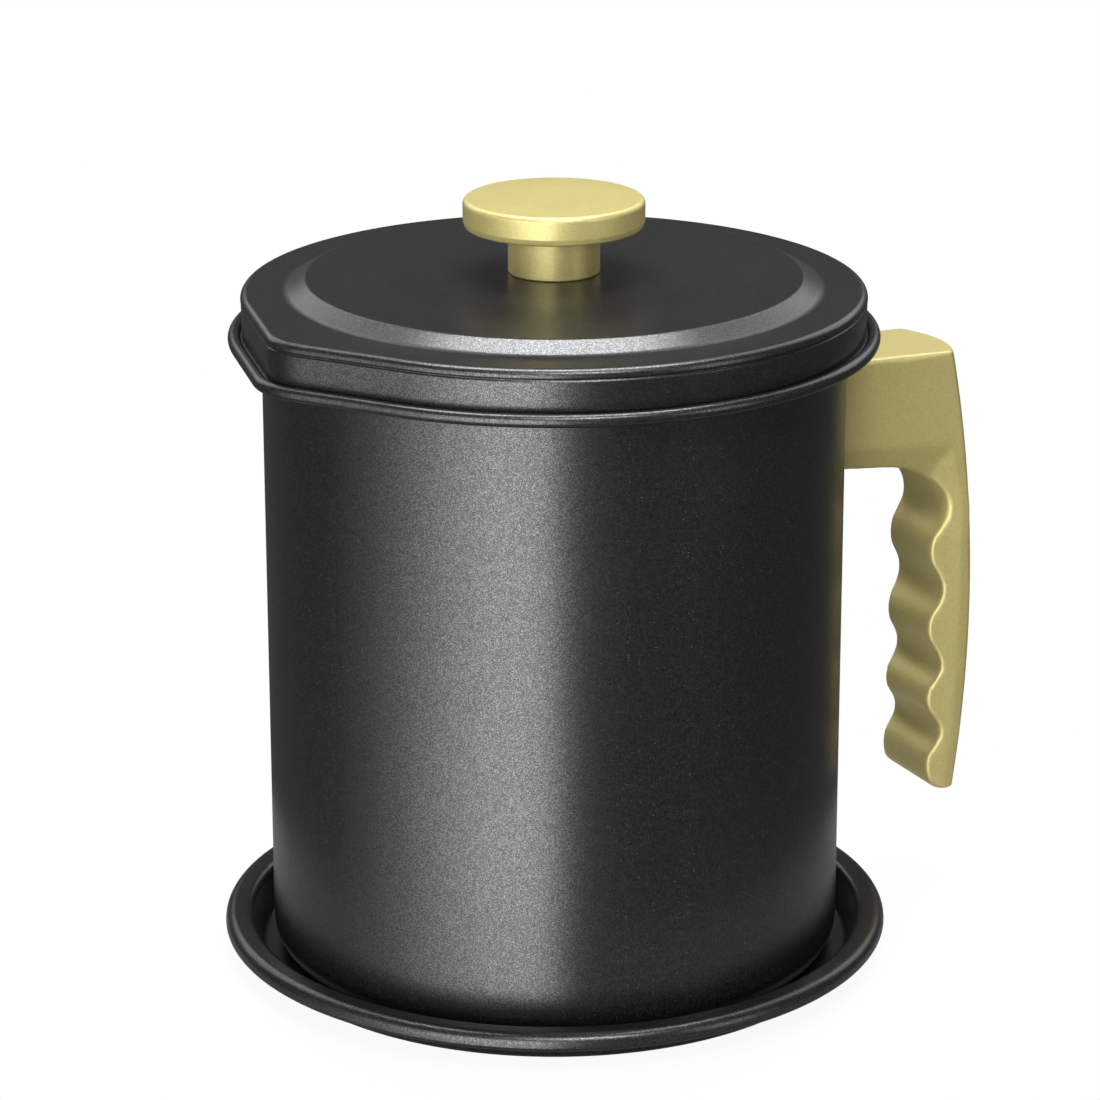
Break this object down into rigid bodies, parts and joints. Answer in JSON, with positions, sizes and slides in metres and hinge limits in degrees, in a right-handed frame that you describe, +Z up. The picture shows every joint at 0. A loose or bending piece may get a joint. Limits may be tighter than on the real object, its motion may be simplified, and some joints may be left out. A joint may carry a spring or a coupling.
{
  "type": "grease container",
  "caption": "Lidded cylindrical pot for cooking grease, with a lift-out strainer, a side handle, a pouring nose and a round drip tray.",
  "frame": {"origin": "the pot's axis at the table, on the underside of the drip tray", "axes": "+Z up along the pot's axis, +X towards the handle, the pouring nose close to -X"},
  "size_m": [0.1971, 0.1642, 0.1901],
  "materials": {
    "coated_steel": "satin",
    "gold_paint": "satin",
    "bare_steel": "brushed",
    "zinc_steel": "satin",
    "brass": "satin"
  },
  "bodies": {
    "tray": {"drip_tray": "coated_steel"},
    "pot": {"pot_shell": "coated_steel", "handle_bracket": "zinc_steel", "handle_nut": "zinc_steel", "handle_grip": "gold_paint", "handle_washer": "zinc_steel", "handle_screw": "zinc_steel"},
    "strainer": {"strainer_basket": "bare_steel", "mesh_screen": "bare_steel", "mesh_ring": "bare_steel"},
    "lid": {"lid_shell": "coated_steel", "knob_stem": "gold_paint", "knob_cap": "gold_paint", "knob_insert": "brass", "knob_washer": "zinc_steel", "knob_screw": "zinc_steel"}
  },
  "joints": [
    {"name": "pot_lift", "type": "slide", "parent": "tray", "child": "pot", "axis": [0, 0, 1], "range_m": [0, 0.04]},
    {"name": "strainer_lift", "type": "slide", "parent": "pot", "child": "strainer", "axis": [0, 0, 1], "range_m": [0, 0.09]},
    {"name": "lid_lift", "type": "slide", "parent": "strainer", "child": "lid", "axis": [0, 0, 1], "range_m": [0, 0.06]}
  ]
}
